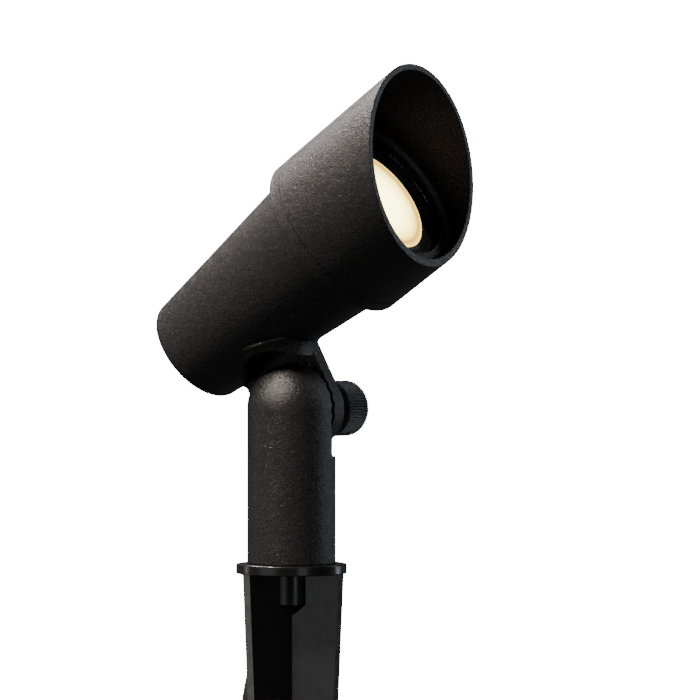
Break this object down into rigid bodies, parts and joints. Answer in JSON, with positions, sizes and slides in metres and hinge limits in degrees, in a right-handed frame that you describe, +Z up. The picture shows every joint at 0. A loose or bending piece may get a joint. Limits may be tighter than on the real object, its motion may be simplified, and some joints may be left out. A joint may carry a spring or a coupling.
{
  "type": "landscape spotlight on a ground stake",
  "caption": "Low-voltage landscape spotlight: a tilting cast head with a slanted glare hood on a round stem, clamped by a thumb screw, standing on a finned ground stake.",
  "frame": {"origin": "centre of the underside of the stake's flange, where it seats on the ground", "axes": "+Z up the stem, the beam leaves towards -Y and up, +X towards the thumb screw"},
  "size_m": [0.0943, 0.1307, 0.4348],
  "materials": {
    "powder_coat": "textured matte powder coat, near black",
    "stake_plastic": "gloss black moulded plastic",
    "steel": "plain machined",
    "brass": "plain turned",
    "rubber_black": "matte",
    "cable_black": "satin cable jacket",
    "wire_jacket": "satin wire jacket",
    "lens_glass": "clear tempered glass",
    "silicone": "matte silicone",
    "lamp_white": "white moulded plastic",
    "optic": "clear prismatic optic, lit",
    "led_board": "white board with a lit emitter",
    "ceramic": "unglazed ceramic",
    "connector_plastic": "satin moulded plastic"
  },
  "bodies": {
    "stake": {"stake": "stake_plastic", "lead_stop": "rubber_black", "lead_cord": "cable_black", "lead_coil": "cable_black", "coil_tie": "connector_plastic", "lead_tail": "cable_black", "connector_boot": "rubber_black", "connector_base": "connector_plastic", "connector_pins": "brass"},
    "cable_cap": {"connector_cap": "connector_plastic"},
    "stem": {"stem": "powder_coat", "stem_nipple": "steel", "stem_locknut": "steel", "stem_washer": "steel", "stem_leads": "wire_jacket"},
    "thumb": {"thumb_knob": "powder_coat", "thumb_screw": "steel", "thumb_washer": "steel"},
    "head": {"housing": "powder_coat", "head_leads": "wire_jacket", "neck_grommet": "rubber_black", "lamp_socket": "ceramic", "socket_plate": "steel", "socket_screws": "steel", "lamp_body": "lamp_white", "lamp_optic": "optic", "lamp_module": "led_board", "lamp_pins": "steel"},
    "seal": {"hood_seal": "silicone"},
    "hood": {"hood": "powder_coat", "lens_glass": "lens_glass", "lens_gasket": "silicone", "lens_ring": "steel"}
  },
  "joints": [
    {"name": "stem_pan", "type": "hinge", "parent": "stake", "child": "stem", "pos_m": [0, 0, 0], "axis": [0, 0, 1], "range_deg": [-170, 170]},
    {"name": "head_tilt", "type": "hinge", "parent": "stem", "child": "head", "pos_m": [0, 0, 0.0669], "axis": [1, 0, 0], "range_deg": [-50, 48]},
    {"name": "thumb_turn", "type": "hinge", "parent": "stem", "child": "thumb", "pos_m": [0, 0, 0.0669], "axis": [1, 0, 0], "continuous": true},
    {"name": "hood_turn", "type": "hinge", "parent": "head", "child": "seal", "pos_m": [0, 0.02554, 0.1062], "axis": [0, -0.8333, 0.5528], "continuous": true},
    {"name": "hood_off", "type": "slide", "parent": "seal", "child": "hood", "axis": [0, -0.8333, 0.5528], "range_m": [0, 0.07]},
    {"name": "cap_draw", "type": "slide", "parent": "stake", "child": "cable_cap", "axis": [0, 1, 0], "range_m": [0, 0.012]}
  ]
}
